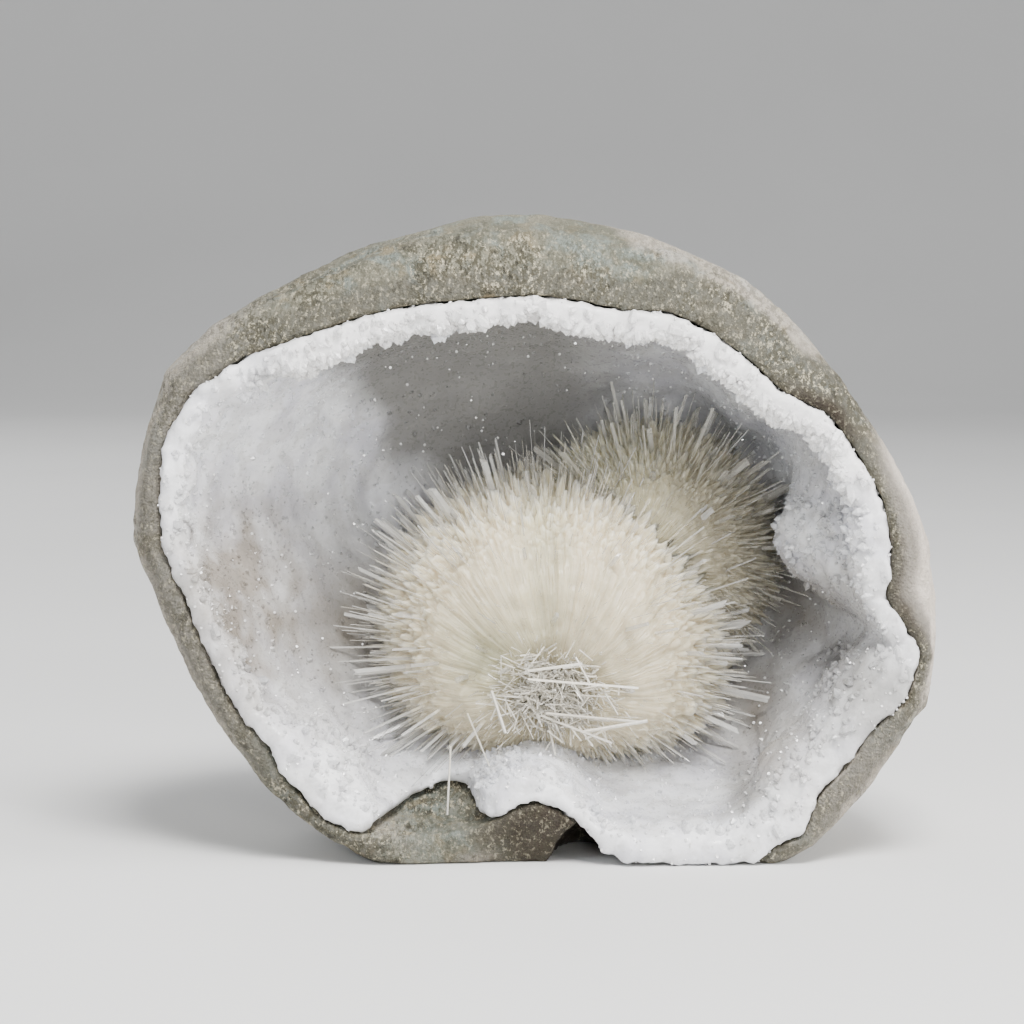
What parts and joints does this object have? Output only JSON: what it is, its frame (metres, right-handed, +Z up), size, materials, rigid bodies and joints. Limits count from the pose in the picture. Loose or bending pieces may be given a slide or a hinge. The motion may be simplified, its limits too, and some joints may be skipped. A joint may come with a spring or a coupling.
{
  "type": "scolecite quartz geode",
  "caption": "Half geode of grey-green basalt with a white drusy quartz lining and a spray of scolecite needles in its hollow, standing on a ground foot.",
  "frame": {"origin": "on the plane of the ground foot, under the middle of the specimen's box", "axes": "+Z up from the foot, +X across the opening to the viewer's right, -Y out of the hollow's opening"},
  "size_m": [0.0982, 0.0544, 0.078],
  "materials": {
    "basalt": "grey-green weathered basalt, speckled and dull, with a broken edge",
    "quartz": "white sugary quartz, slightly see-through, with bright crystal faces",
    "scolecite": "milky cream needles with clear glassy tips"
  },
  "bodies": {
    "root": {"basalt_shell": "basalt", "quartz_crust": "quartz", "scolecite_spray": "scolecite"}
  },
  "joints": []
}
